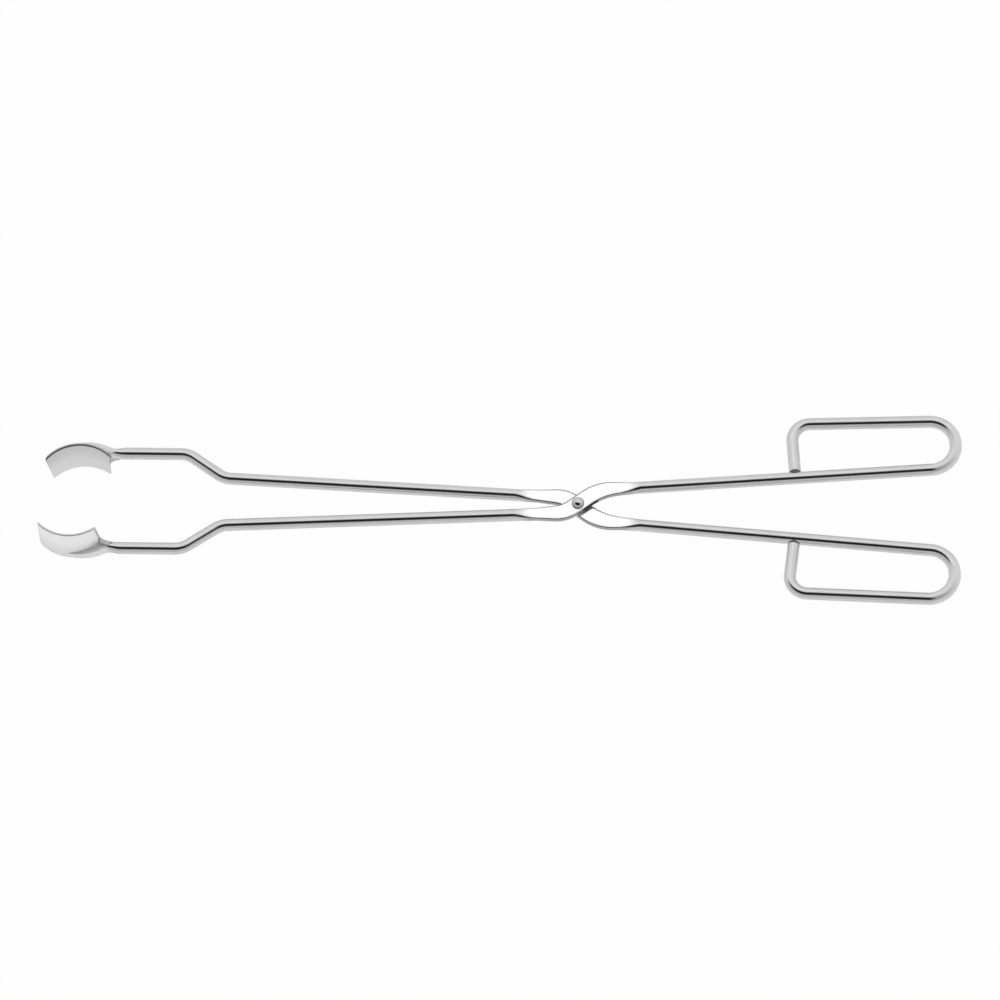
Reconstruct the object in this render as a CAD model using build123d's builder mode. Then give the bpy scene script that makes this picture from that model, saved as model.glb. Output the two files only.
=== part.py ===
from build123d import *
from math import cos, hypot, radians, sin, sqrt, tan
import os

# Crucible tongs, 450 mm long, lying flat. Two arms are bent from the same round rod and
# crossed on a rivet. They are one pattern: the back arm is the front arm turned over about X.
# X runs along the tongs, jaws at -X and finger loops at +X. Z is the rivet's axis.
# The origin is at the middle of the overall length, in the plane between the two pressed
# flats, and the plan sizes below are measured from the rivet's axis.

# Rod and pivot
rod_dia = 6.0
flat_thick = 3.0
flat_width = 8.6
flat_edge_round = 1.1
flat_play = 0.1
press_start = 31.0
press_full = 21.0
press_blend = 25.0
leaf_reach = 27.0
leaf_end_width = 4.8
cross_angle = 37.7
knuckle_radius_jaw_side = 15.0
knuckle_radius_loop_side = 25.0

# Jaw side of the arm, measured from the pivot
shank_offset = 4.55
shank_angle = 2.9
crank_start = 174.6
crank_end = 193.0
stem_offset = 26.25
crank_radius = 12.0

# Jaw plate
jaw_inner_radius = 20.9
jaw_thick = 1.2
jaw_centre_x = -246.3
jaw_centre_y = -8.1
jaw_tip_reach = 17.0
jaw_root_reach = 14.9
jaw_tip_setback = 1.6
jaw_root_setback = 2.0
jaw_height = 25.6
jaw_overhang = 0.5
jaw_corner_radius = 2.0

# Hammered end of the rod, which lies on the back of the jaw plate
tang_neck = 9.4
tang_straight = 1.0
tang_root_angle = -55.0
tang_end_angle = -95.0
tang_steps = 4
tang_root_thick = 2.9
tang_end_thick = 0.3
tang_root_width = 6.8
tang_end_width = 4.0
tang_overlap = 0.5

# Braze between rod and jaw plate
braze_along_rod = 5.0
braze_up_plate = 5.0
braze_inset = 0.3
braze_thick = 2.2
braze_lap = 0.3
braze_hollow_radius = 7.0

# Finger loop
handle_offset = 6.94
handle_angle = 4.62
return_offset = 40.88
return_angle = 1.96
loop_end = 186.7
loop_end_radius = 12.7
loop_corner_radius = 8.8
stub_foot_x = 105.8
stub_lean = 5.4
stub_gap = 0.25
loop_weld_dia = 5.0
loop_weld_depth = 1.5

# Rivet
rivet_dia = 4.0
rivet_fit = 0.05
rivet_head_dia = 6.1
rivet_head_height = 2.3
rivet_head_wall = 0.5
rivet_tail_dia = 6.4
rivet_tail_height = 1.7

# Worked out from the sizes above
rod_radius = rod_dia / 2
arm_level = (flat_thick + flat_play) / 2
jaw_outer_radius = jaw_inner_radius + jaw_thick
jaw_bottom = arm_level - rod_radius - jaw_overhang
jaw_top = jaw_bottom + jaw_height
jaw_centre = (jaw_centre_x, jaw_centre_y)
jaw_tip_x = jaw_centre_x - jaw_tip_reach
jaw_root_x = jaw_centre_x + jaw_root_reach
jaw_root_y = jaw_centre_y - sqrt(jaw_outer_radius**2 - jaw_root_reach**2)
stem_end_x = jaw_root_x + tang_neck
pivot_x = -(jaw_tip_x + loop_end) / 2
pivot_plane = Plane(origin=(pivot_x, 0, 0))
cutter_reach = 3 * flat_width


def upright(y):
    """Plane through y that faces the near side, with x from the pivot and z up."""
    return Plane(origin=(pivot_x, y, 0), x_dir=(1, 0, 0), z_dir=(0, -1, 0))


def across(point, facing, level_dir=None):
    """Upright plane square to a level direction, centred on the arm's level at a point."""
    return Plane(origin=(pivot_x + point[0], point[1], arm_level), x_dir=level_dir, z_dir=facing)


def on_line(offset, angle, x):
    """Point at x on a straight run that passes the pivot at a given offset and angle."""
    return (x, offset + tan(radians(angle)) * x)


def line_meets_cross(offset, angle):
    """Point where a straight run meets the slanting middle of the flat."""
    cross_slope = tan(radians(cross_angle))
    x = offset / (cross_slope - tan(radians(angle)))
    return (x, cross_slope * x)


def unit(start, end):
    """Unit direction from one point to another."""
    length = hypot(end[0] - start[0], end[1] - start[1])
    return ((end[0] - start[0]) / length, (end[1] - start[1]) / length)


def beside(corner, before, after, reach):
    """Corner of a line that runs beside the path at a constant distance, left of it if positive."""
    first = unit(before, corner)
    second = unit(corner, after)
    share = 1 + first[0] * second[0] + first[1] * second[1]
    return (
        corner[0] - reach * (first[1] + second[1]) / share,
        corner[1] + reach * (first[0] + second[0]) / share,
    )


def around_jaw(radius, angle):
    """Point at a radius and angle about the jaw's axis."""
    return (
        jaw_centre_x + radius * cos(radians(angle)),
        jaw_centre_y + radius * sin(radians(angle)),
    )


# Corners of the rod's centreline, from the jaw to the foot of the loop
stem_start = (stem_end_x, -stem_offset)
crank_outer = (-crank_end, -stem_offset)
crank_inner = on_line(-shank_offset, shank_angle, -crank_start)
jaw_knuckle = line_meets_cross(-shank_offset, shank_angle)
loop_knuckle = line_meets_cross(handle_offset, handle_angle)
end_x = loop_end - rod_radius
loop_end_near = on_line(handle_offset, handle_angle, end_x)
loop_end_far = on_line(return_offset, return_angle, end_x)

# The stub stands on the handle and leans away from the loop's end
foot = on_line(handle_offset, handle_angle, stub_foot_x)
stub_direction = (-sin(radians(stub_lean)), cos(radians(stub_lean)))
stub_clear = rod_radius + stub_gap
stub_end = (foot[0] + stub_clear * stub_direction[0], foot[1] + stub_clear * stub_direction[1])
return_slope = tan(radians(return_angle))
stub_length = (return_offset + return_slope * stub_end[0] - stub_end[1]) / (
    stub_direction[1] - return_slope * stub_direction[0]
)
loop_corner = (
    stub_end[0] + stub_length * stub_direction[0],
    stub_end[1] + stub_length * stub_direction[1],
)

# Pressed flat: leaf-shaped in plan, widest at the rivet and lost in the rod at both ends
leaf_jaw_end = on_line(-shank_offset, shank_angle, -leaf_reach)
leaf_loop_end = on_line(handle_offset, handle_angle, leaf_reach)


def leaf_side(side):
    """One long edge of the flat, as points from the jaw end to the loop end."""
    narrow = side * leaf_end_width / 2
    wide = side * flat_width / 2
    return [
        beside(leaf_jaw_end, crank_inner, jaw_knuckle, narrow),
        beside(jaw_knuckle, leaf_jaw_end, loop_knuckle, wide),
        beside(loop_knuckle, jaw_knuckle, leaf_loop_end, wide),
        beside(leaf_loop_end, loop_knuckle, loop_end_near, narrow),
    ]


def leaf_radii(side):
    """Radii of the flat's long edge: wider outside a knuckle, tighter inside it."""
    half = side * flat_width / 2
    return [knuckle_radius_jaw_side - half, knuckle_radius_loop_side + half]


with BuildPart() as leaf:
    with BuildSketch(pivot_plane.offset(arm_level - flat_thick / 2)):
        with BuildLine():
            far_side = FilletPolyline(*leaf_side(1), radius=leaf_radii(1))
            near_side = FilletPolyline(*leaf_side(-1), radius=leaf_radii(-1))
            Line(far_side @ 0, near_side @ 0)
            Line(far_side @ 1, near_side @ 1)
        make_face()
    extrude(amount=flat_thick)
    long_edges = leaf.edges().filter_by(
        lambda edge: abs(edge.tangent_at(0.5).Z) < 0.5 and abs(edge.center().X - pivot_x) < leaf_reach - 1
    )
    fillet(long_edges, flat_edge_round)

# Front arm
with BuildPart() as front_arm:
    with BuildLine(pivot_plane.offset(arm_level)) as rod_path:
        FilletPolyline(
            stem_start,
            crank_outer,
            crank_inner,
            jaw_knuckle,
            loop_knuckle,
            loop_end_near,
            loop_end_far,
            loop_corner,
            stub_end,
            radius=[
                crank_radius,
                crank_radius,
                knuckle_radius_jaw_side,
                knuckle_radius_loop_side,
                loop_end_radius,
                loop_end_radius,
                loop_corner_radius,
            ],
        )
    with BuildSketch(rod_path.line ^ 0):
        Circle(rod_radius)
    sweep()

    # The press squeezes the rod between two ramped dies
    for side in (1, -1):
        face = arm_level + side * flat_thick / 2
        rim = arm_level + side * rod_radius
        with BuildSketch(upright(cutter_reach)):
            with BuildLine():
                die = FilletPolyline(
                    (-press_start, rim),
                    (-press_full, face),
                    (press_full, face),
                    (press_start, rim),
                    radius=press_blend,
                )
                Line(die @ 0, die @ 1)
            make_face()
        extrude(amount=2 * cutter_reach, mode=Mode.SUBTRACT)
    add(leaf.part)

    # The end of the rod is bent round the jaw's back and hammered thin towards its tip
    with BuildSketch(across(stem_start, (-1, 0, 0))):
        Circle(rod_radius)
    with BuildSketch(across((stem_end_x - tang_straight, -stem_offset), (-1, 0, 0))):
        Circle(rod_radius)
    for step in range(tang_steps + 1):
        share = step / tang_steps
        angle = tang_root_angle + share * (tang_end_angle - tang_root_angle)
        thick = tang_root_thick + share * (tang_end_thick - tang_root_thick)
        width = tang_root_width + share * (tang_end_width - tang_root_width)
        centre = around_jaw(jaw_outer_radius + (thick - tang_overlap) / 2, angle)
        outward = (cos(radians(angle)), sin(radians(angle)), 0)
        with BuildSketch(across(centre, (outward[1], -outward[0], 0), outward)):
            Ellipse((thick + tang_overlap) / 2, width / 2)
    loft()
    with BuildSketch(pivot_plane.offset(jaw_bottom)):
        with Locations(jaw_centre):
            Circle(jaw_outer_radius)
    extrude(amount=jaw_height, mode=Mode.SUBTRACT)

    # Bore for the rivet
    with BuildSketch(pivot_plane.offset(arm_level - flat_thick)):
        Circle(rivet_dia / 2 + rivet_fit)
    extrude(amount=2 * flat_thick, mode=Mode.SUBTRACT)

# Front jaw, a curved plate whose ends are cut at a slant
with BuildPart() as front_jaw:
    with BuildSketch(pivot_plane.offset(jaw_bottom)):
        with Locations(jaw_centre):
            Circle(jaw_outer_radius)
            Circle(jaw_inner_radius, mode=Mode.SUBTRACT)
    extrude(amount=jaw_height)
    with BuildSketch(upright(jaw_centre_y)) as jaw_outline:
        with BuildLine():
            Polyline(
                (jaw_tip_x, jaw_bottom),
                (jaw_root_x, jaw_bottom),
                (jaw_root_x - jaw_root_setback, jaw_top),
                (jaw_tip_x + jaw_tip_setback, jaw_top),
                close=True,
            )
        make_face()
        fillet(jaw_outline.vertices(), jaw_corner_radius)
    extrude(amount=2 * jaw_outer_radius, mode=Mode.INTERSECT)

# Braze that fills the corner between the rod and the root edge of the jaw plate
braze_level = arm_level + rod_radius
root_slope = jaw_root_setback / jaw_height
braze_root_x = jaw_root_x - root_slope * (braze_level - jaw_bottom)
braze_low = (braze_root_x + braze_along_rod, braze_level)
braze_high = (braze_root_x - root_slope * braze_up_plate, braze_level + braze_up_plate)
with BuildPart() as front_jaw_braze:
    with BuildSketch(upright(jaw_root_y + braze_inset)):
        with BuildLine():
            Polyline(
                braze_high,
                (braze_high[0] - braze_lap, braze_high[1]),
                (braze_root_x - braze_lap, braze_level - rod_radius),
                (braze_low[0], braze_level - rod_radius),
                braze_low,
            )
            RadiusArc(braze_low, braze_high, braze_hollow_radius)
        make_face()
    extrude(amount=braze_thick)
    add(front_arm.part, mode=Mode.SUBTRACT)
    add(front_jaw.part, mode=Mode.SUBTRACT)

# Weld between the foot of the stub and the handle
with BuildPart() as front_loop_weld:
    with BuildSketch(across(stub_end, (-stub_direction[0], -stub_direction[1], 0))):
        Circle(loop_weld_dia / 2)
    extrude(amount=stub_gap + loop_weld_depth)
    add(front_arm.part, mode=Mode.SUBTRACT)

# The back arm and what is joined to it are the same pieces, turned over about X
with BuildPart() as back_arm:
    add(front_arm.part, rotation=(180, 0, 0))
with BuildPart() as back_jaw:
    add(front_jaw.part, rotation=(180, 0, 0))
with BuildPart() as back_jaw_braze:
    add(front_jaw_braze.part, rotation=(180, 0, 0))
with BuildPart() as back_loop_weld:
    add(front_loop_weld.part, rotation=(180, 0, 0))

# Rivet: a domed head, a shank that turns in the front arm and swells tight in the back arm
stack_top = arm_level + flat_thick / 2
head_seat = stack_top + flat_play
tail_seat = -stack_top
with BuildPart() as pivot_rivet:
    with BuildSketch(upright(0)):
        with BuildLine():
            Line((0, tail_seat - rivet_tail_height), (0, head_seat + rivet_head_height))
            TangentArc(
                (0, head_seat + rivet_head_height),
                (rivet_head_dia / 2, head_seat + rivet_head_wall),
                tangent=(1, 0),
            )
            Polyline(
                (rivet_head_dia / 2, head_seat + rivet_head_wall),
                (rivet_head_dia / 2, head_seat),
                (rivet_dia / 2, head_seat),
                (rivet_dia / 2, 0),
                (rivet_dia / 2 + rivet_fit, 0),
                (rivet_dia / 2 + rivet_fit, tail_seat),
                (rivet_tail_dia / 2, tail_seat),
            )
            TangentArc(
                (0, tail_seat - rivet_tail_height),
                (rivet_tail_dia / 2, tail_seat),
                tangent=(1, 0),
            )
        make_face()
    revolve(axis=Axis((pivot_x, 0, 0), (0, 0, 1)))

os.makedirs("parts", exist_ok=True)
front_arm.part.label = "front_arm"
export_step(front_arm.part, "parts/front_arm.step")
back_arm.part.label = "back_arm"
export_step(back_arm.part, "parts/back_arm.step")
front_jaw.part.label = "front_jaw"
export_step(front_jaw.part, "parts/front_jaw.step")
back_jaw.part.label = "back_jaw"
export_step(back_jaw.part, "parts/back_jaw.step")
front_jaw_braze.part.label = "front_jaw_braze"
export_step(front_jaw_braze.part, "parts/front_jaw_braze.step")
back_jaw_braze.part.label = "back_jaw_braze"
export_step(back_jaw_braze.part, "parts/back_jaw_braze.step")
front_loop_weld.part.label = "front_loop_weld"
export_step(front_loop_weld.part, "parts/front_loop_weld.step")
back_loop_weld.part.label = "back_loop_weld"
export_step(back_loop_weld.part, "parts/back_loop_weld.step")
pivot_rivet.part.label = "pivot_rivet"
export_step(pivot_rivet.part, "parts/pivot_rivet.step")
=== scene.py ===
import math

import bmesh
import bpy
from bpy.props import FloatProperty, FloatVectorProperty, IntProperty, PointerProperty
from mathutils import Matrix, Vector


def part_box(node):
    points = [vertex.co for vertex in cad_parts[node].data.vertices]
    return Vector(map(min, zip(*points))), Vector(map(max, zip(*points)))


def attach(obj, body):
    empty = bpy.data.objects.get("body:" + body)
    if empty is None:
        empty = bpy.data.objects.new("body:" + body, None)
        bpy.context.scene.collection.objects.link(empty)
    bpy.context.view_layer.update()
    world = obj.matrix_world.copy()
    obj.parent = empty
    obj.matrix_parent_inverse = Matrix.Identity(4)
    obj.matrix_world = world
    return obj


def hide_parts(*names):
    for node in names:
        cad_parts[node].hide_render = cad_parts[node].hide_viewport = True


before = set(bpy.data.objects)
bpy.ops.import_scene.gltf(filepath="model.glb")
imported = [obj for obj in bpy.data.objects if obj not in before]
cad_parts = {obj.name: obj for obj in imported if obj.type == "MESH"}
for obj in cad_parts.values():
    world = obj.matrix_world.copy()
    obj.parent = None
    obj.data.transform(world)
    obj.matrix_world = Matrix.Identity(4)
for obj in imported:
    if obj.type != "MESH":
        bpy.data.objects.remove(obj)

bl_info = {
    "name": "Crucible Tongs",
    "version": (1, 0, 0),
    "blender": (4, 5, 0),
    "location": "View3D > Sidebar > Tongs",
    "description": "Bends, presses and plates a pair of long crucible tongs",
    "category": "Object",
}

RIVET_LOW, RIVET_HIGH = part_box("pivot_rivet")
RIVET_X = (RIVET_LOW[0] + RIVET_HIGH[0]) / 2
WHITE = (1.0, 1.0, 1.0)

# How finely the meshes are divided: steps, an angle, gaps in metres, and shares of the height
SECTION_STEPS = 18
BEND_STEP = math.radians(2.5)
LEAST_BEND_STEPS = 4
CLOSE_GAP = 0.0005
WIDE_GAP = 0.006
HAMMER_STEPS = 8
NECK_STEPS = 20
PLATE_COLUMNS = 72
PLATE_ROWS = 16
CLOSE_ROWS = (0.0, 0.006, 0.015, 0.03, 0.05, 0.08)
RIM_STEPS = 5
DOME_STEPS = 24
HEAD_RIM_STEPS = 4
LATHE_STEPS = 96

# Rod: how much squarer a full press makes it, how the leaf's widest part is eased, how fast the
# neck thickens after the last hammer station
SQUARED = 4.0
LEAF_EASE = 0.3
NECK_SWELL = 2

# Cut ends of the rod: the bevel as a share of the rod's half, and what is left of its end sections
BEVEL = 0.08
BEVEL_HELD = 1.5
TIP_LEFT = (0.8, 0.9)
CUT_LEFT = 0.92

# Bands over which a finish, a painted reflection or a painted shade begins or ends: shares of the
# section's height and width, of the press
LEVEL_BAND = (0.7, 0.95)
FAR_BAND = (0.76, 0.88)
PRESSED_BAND = (0.05, 0.8)
EDGE_BAND = (0.3, 0.9)
# Share of the neck behind the jaw, metres along the tongs from the rivet, degrees round the loop
NECK_BAND = (0.15, 0.5)
# The crossing band paints shade on the front flat's near side face beside the rivet
CROSSING_START = (-0.002, 0.001)
CROSSING_END = (0.007, 0.009)
SATIN_START = (-90, -70)
SATIN_END_FRONT = (33, 57)
SATIN_END_BACK = (8, 32)
# Painted shade line along the plate's inner edge by the rod: share of the jaw plate's thickness,
# metres from its rim by the rod; painted shade up the sheet: share of its height
RIM_SHADE_DEPTH = (0.55, 0.85)
RIM_SHADE_HEIGHT = (0.0005, 0.0016)
SHEET_SHADE_BAND = (0.0, 0.75)
# Share of the rivet head's radius over which its painted shade grows; middle part of a noise, which
# is spread over a finish
RIVET_SHADE_BAND = (0.7, 1.0)
NOISE_BAND = (0.3, 0.7)

# Painted shade on the flats, near-black metal standing in for shade and dark reflections: its least
# amount on their side faces, and what it takes from their top
SIDE_SHADE_LEAST = 0.3
FAR_SHADE_TAKEN = 0.55

# Grain, clouds and pits of the metals: scale and detail of a noise
DRAWN_STRETCH = (60, 9000, 1)
DRAWN_GRAIN = (1.0, 3.0)
PLATING_CLOUDS = (140.0, 3.0)
RIVET_GRAIN = (900.0, 3.0)
SHEET_CLOUDS = (110.0, 5.0)
SHEET_PITS = (2600.0, 3.0)
JOIN_LUMPS = (700.0, 4.0)
NOISE_ROUGHNESS = 0.55

# Their bumps: strength, and height in metres
ROD_BUMP = (0.25, 0.00001)
RIVET_BUMP = (0.1, 0.00001)
SHEET_BUMP = (0.15, 0.00002)
JOIN_BUMP = (0.3, 0.0001)

# Roughness of the joins, and the shares of a roughness between which it varies
BRAZE_ROUGHNESS = 0.5
WELD_ROUGHNESS = 0.6
BRIGHT_VARIES = (0.8, 1.25)
DULL_VARIES = (0.85, 1.15)

# What is left of a colour where the metal is cloudy, or where it is darkened as painted shade
ROD_CLOUD = 0.94
FLAT_CLOUD = 0.985
RIVET_CLOUD = 0.95
RIVET_RIM_SHADE = 0.4
JOIN_CLOUD = 0.8
SHEET_LOW_SHADE = 0.82
SHEET_LOW_CLOUD_AND_SHADE = 0.74
SHEET_HIGH_CLOUD = 0.92
SHEET_RIM_SHADE = 0.1

# Floor: half its side, its gap under the tongs, how far it is brought to white, and the share of
# that in reflections
FLOOR_HALF = 6.0
FLOOR_GAP = 0.00005
FLOOR_WHITE = 0.97
FLOOR_REFLECTED = 0.75
FLOOR_ROUGHNESS = 0.9
FLOOR_GLOSS = 0.1

# Soft box: its two sides, its power, its distance and the way to it
LAMP_SIDES = (1.5, 0.9)
LAMP_POWER = 0.7
LAMP_DISTANCE = 1.8
LAMP_WAY = (-0.06, 0.42, 0.905)

# White tent with a dark opening: brightness, and the bands of direction over which it changes
TENT_LOW = 0.8
TENT_LOW_BAND = (0.0, 0.35)
TENT_NEAR = 0.75
TENT_FAR = 0.93
TENT_DEPTH_BAND = (-0.3, 0.3)
OPENING = 0.01
OPENING_HEIGHT_BAND = (0.5, 0.77)
OPENING_DEPTH_BAND = (-0.16, 0.13)
OPENING_LEAN = 0.25

# Camera: width of its sensor in millimetres, and how far it sees in metres
SENSOR_WIDTH = 36
CAMERA_REACH = 20


def length(name, description, default):
    """A size in metres."""
    return FloatProperty(
        name=name, description=description, default=default, unit="LENGTH", precision=5
    )


def turn(name, description, degrees):
    """An angle, given here in degrees."""
    return FloatProperty(
        name=name, description=description, default=math.radians(degrees), unit="ROTATION"
    )


def share(name, description, default):
    """A value from nothing to all."""
    return FloatProperty(
        name=name, description=description, default=default, min=0.0, max=1.0, subtype="FACTOR"
    )


def shade(name, description, default):
    """A colour."""
    return FloatVectorProperty(
        name=name, description=description, default=default, min=0.0, max=1.0, subtype="COLOR"
    )


class TongsArmSizes(bpy.types.PropertyGroup):
    """Sizes of the two bent arms, in plan from the rivet"""

    rod: length("Rod", "Diameter of the round rod", 0.006)
    level: length("Level", "Height of the front arm's centre over the middle plane", 0.00155)
    flat_thick: length("Flat thickness", "Thickness of the pressed flat", 0.003)
    flat_width: length("Flat width", "Width of the pressed flat at the rivet", 0.0086)
    flat_end_width: length("Flat end width", "Width of the flat's outline at its reach", 0.0048)
    flat_reach: length("Flat reach", "Reach of the flat's outline from the rivet", 0.027)
    press_full: length("Press full", "Reach of the press at its full depth", 0.021)
    press_start: length("Press start", "Reach at which the press first touches the rod", 0.031)
    press_blend: length("Press blend", "Blend radius of the press dies", 0.025)
    cross: turn("Crossing", "Slant of the flat at the rivet", 37.7)
    knuckle_jaw: length("Jaw knuckle", "Bend radius beside the rivet, jaw side", 0.015)
    knuckle_loop: length("Loop knuckle", "Bend radius beside the rivet, loop side", 0.025)
    shank_offset: length("Shank offset", "Offset of the shank's line at the rivet", 0.00455)
    shank_angle: turn("Shank angle", "Angle of the shank", 2.9)
    crank_start: length("Crank start", "Distance of the inner crank bend from the rivet", 0.1746)
    crank_end: length("Crank end", "Distance of the outer crank bend from the rivet", 0.193)
    crank_radius: length("Crank radius", "Bend radius of the crank", 0.012)
    stem_offset: length("Stem offset", "Offset of the stem behind the jaw", 0.02625)
    handle_offset: length("Handle offset", "Offset of the handle's line at the rivet", 0.00694)
    handle_angle: turn("Handle angle", "Angle of the handle", 4.62)
    return_offset: length("Return offset", "Offset of the loop's return run at the rivet", 0.04088)
    return_angle: turn("Return angle", "Angle of the loop's return run", 1.96)
    loop_end: length("Loop end", "Distance of the loop's end from the rivet", 0.1867)
    loop_end_radius: length("Loop end radius", "Bend radius of the loop's round end", 0.0127)
    loop_corner_radius: length("Loop corner radius", "Bend radius of the loop's corner", 0.0088)
    stub_foot: length("Stub foot", "Distance of the stub's foot from the rivet", 0.1058)
    stub_lean: turn("Stub lean", "Lean of the stub away from the loop's end", 5.4)
    stub_gap: length("Stub gap", "Gap between the stub's foot and the handle", 0.00025)


class TongsJawSizes(bpy.types.PropertyGroup):
    """Sizes of the curved jaw plates and the hammered rod ends behind them"""

    centre_x: length("Centre X", "Jaw's axis from the rivet, along the tongs", -0.2463)
    centre_y: length("Centre Y", "Jaw's axis from the rivet, across the tongs", -0.0081)
    inner: length("Inner radius", "Inner radius of the plate", 0.0209)
    thick: length("Thickness", "Thickness of the plate", 0.0012)
    tip_reach: length("Tip reach", "Reach of the tip from the jaw's axis", 0.017)
    root_reach: length("Root reach", "Reach of the root edge from the jaw's axis", 0.0149)
    tip_setback: length("Tip setback", "Slant of the tip's edge", 0.0016)
    root_setback: length("Root setback", "Slant of the root edge", 0.002)
    height: length("Height", "Height of the plate", 0.0256)
    overhang: length("Overhang", "How far the plate reaches past the rod", 0.0005)
    corner: length("Corner", "Corner radius of the plate", 0.0014)
    edge: length("Edge", "Rounding of the plate's edges", 0.00045)
    neck: length("Neck", "Length of rod between the plate and the round stem", 0.0094)
    neck_lead: length("Neck lead", "First part of the neck, still round", 0.001)
    tang_root_angle: turn("Tang root", "Where the rod first lies on the plate", -55)
    tang_end_angle: turn("Tang end", "Where the hammered end stops", -95)
    tang_root_thick: length("Tang root thickness", "Thickness at the root", 0.0029)
    tang_end_thick: length("Tang end thickness", "Thickness at the end", 0.0003)
    tang_root_width: length("Tang root width", "Width at the root", 0.0068)
    tang_end_width: length("Tang end width", "Width at the end", 0.004)
    tang_overlap: length("Tang overlap", "How far the tang sinks into the plate", 0.0005)
    tang_steps: IntProperty(
        name="Tang steps", description="Hammer stations along the tang", default=4, min=1
    )


class TongsRivetSizes(bpy.types.PropertyGroup):
    """Sizes of the rivet"""

    head: length("Head", "Diameter of the domed head", 0.0061)
    head_height: length("Head height", "Height of the head", 0.0023)
    head_wall: length("Head wall", "Upright wall under the dome", 0.0005)
    head_seat: length("Head seat", "Height of the head's underside", 0.00315)
    tail: length("Tail", "Diameter of the hammered tail", 0.0064)
    tail_height: length("Tail height", "Height of the tail", 0.0017)
    tail_seat: length("Tail seat", "Depth of the tail's upper side", 0.00305)
    rim: length("Rim", "Rounding of the head's lower rim", 0.00015)


class TongsFinishes(bpy.types.PropertyGroup):
    """Colours and polish of the metals"""

    rod: shade("Rod", "Plating on the round rod", (0.66, 0.66, 0.665))
    rod_polish: share("Rod roughness", "Roughness of the plated rod", 0.16)
    satin: shade("Satin", "Plating on the rod round the loop's end", (0.77, 0.77, 0.775))
    satin_polish: share("Satin roughness", "Roughness of the rod round the loop's end", 0.5)
    hammered: shade("Hammered", "Plating on the hammered end behind the jaw", (0.95, 0.95, 0.95))
    hammered_polish: share("Hammered roughness", "Roughness of the hammered end", 0.8)
    # The flats' whiter plating on their top and bottom faces is partly real plating and partly
    # painted reflection of the bright tent
    flat: shade("Flat", "Plating on the pressed flats", (0.94, 0.94, 0.945))
    flat_polish: share("Flat roughness", "Roughness of the pressed flats", 0.2)
    # Near-black metal on the flats' side faces is painted shade and dark reflection
    edge: shade("Flat edge", "Darker metal on the flats' edges", (0.04, 0.04, 0.04))
    rim: shade("Rim", "Cut rims of the jaw plates", (0.62, 0.62, 0.62))
    rim_polish: share("Rim roughness", "Roughness of the cut rims", 0.22)
    jaw: shade("Front jaw", "Satin sheet of the front jaw", (0.98, 0.98, 0.98))
    # The back jaw's duller colour is painted shade on the same satin sheet as the front jaw
    back_jaw: shade("Back jaw", "Satin sheet of the back jaw, a little duller", (0.85, 0.85, 0.85))
    jaw_polish: share("Jaw roughness", "Roughness of the sheet", 0.4)
    braze: shade("Braze", "Filed braze between rod and jaw", (0.62, 0.62, 0.62))
    weld: shade("Weld", "Weld under the stub", (0.2, 0.2, 0.205))
    rivet: shade("Rivet", "Plating on the rivet", (0.64, 0.64, 0.645))
    rivet_polish: share("Rivet roughness", "Roughness of the rivet", 0.13)


class TongsStageSizes(bpy.types.PropertyGroup):
    """Camera, light and floor"""

    target_x: length("Target X", "Where the camera looks, along the tongs from the rivet", -0.0384)
    target_y: length("Target Y", "Where the camera looks, across the tongs", 0.0026)
    distance: length("Distance", "Distance of the camera", 3.1786)
    elevation: turn("Elevation", "Height of the camera over the floor as an angle", 65.0)
    azimuth: turn("Azimuth", "Turn of the camera about the upright", -8.35)
    roll: turn("Roll", "Roll of the camera", -6.93)
    lens: FloatProperty(name="Lens", description="Focal length", default=234.0, unit="CAMERA")
    floor: shade("Floor", "Colour of the floor", (0.95, 0.95, 0.95))


def piece_of(name, verts, faces, body, materials, marks=None, places=None, traits=None):
    """Make a smooth closed mesh piece that rides on a body."""
    mesh = bpy.data.meshes.new(name)
    mesh.from_pydata(verts, [], faces)
    for material in materials:
        mesh.materials.append(material)
    if marks:
        mesh.polygons.foreach_set("material_index", marks)
    if places:
        grain = mesh.uv_layers.new(name="grain")
        for loop, place in zip(grain.data, places):
            loop.uv = place
    for trait, values in (traits or {}).items():
        mesh.attributes.new(trait, "FLOAT", "POINT").data.foreach_set("value", values)
    shell = bmesh.new()
    shell.from_mesh(mesh)
    bmesh.ops.recalc_face_normals(shell, faces=shell.faces)
    shell.to_mesh(mesh)
    shell.free()
    mesh.polygons.foreach_set("use_smooth", [True] * len(mesh.polygons))
    mesh.update()
    piece = bpy.data.objects.new(name, mesh)
    bpy.context.scene.collection.objects.link(piece)
    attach(piece, body)
    return piece


def turned_over(points):
    """The same points turned over about the long axis."""
    return [(x, -y, -z) for x, y, z in points]


def on_line(offset, angle, x):
    """Point of a straight run that passes the rivet at an offset and angle."""
    return Vector((x, offset + math.tan(angle) * x))


def meets_cross(sizes, offset, angle):
    """Point where a straight run meets the slanting middle of the flat."""
    slope = math.tan(sizes.cross)
    x = offset / (slope - math.tan(angle))
    return Vector((x, slope * x))


def left_of(direction):
    """Level direction to the left of another."""
    return Vector((-direction.y, direction.x))


def bend(before, corner, after, radius):
    """Stations round one bend of the rod, each a point and a direction."""
    into = (corner - before).normalized()
    out = (after - corner).normalized()
    angle = math.atan2(into.cross(out), into.dot(out))
    start = corner - into * radius * math.tan(abs(angle) / 2)
    side = math.copysign(1, angle)
    centre = start + left_of(into) * radius * side
    steps = max(LEAST_BEND_STEPS, math.ceil(abs(angle) / BEND_STEP))
    stations = []
    for step in range(steps + 1):
        swing = Matrix.Rotation(angle * step / steps, 2)
        stations.append((centre + swing @ (start - centre), swing @ into))
    return stations


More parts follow.
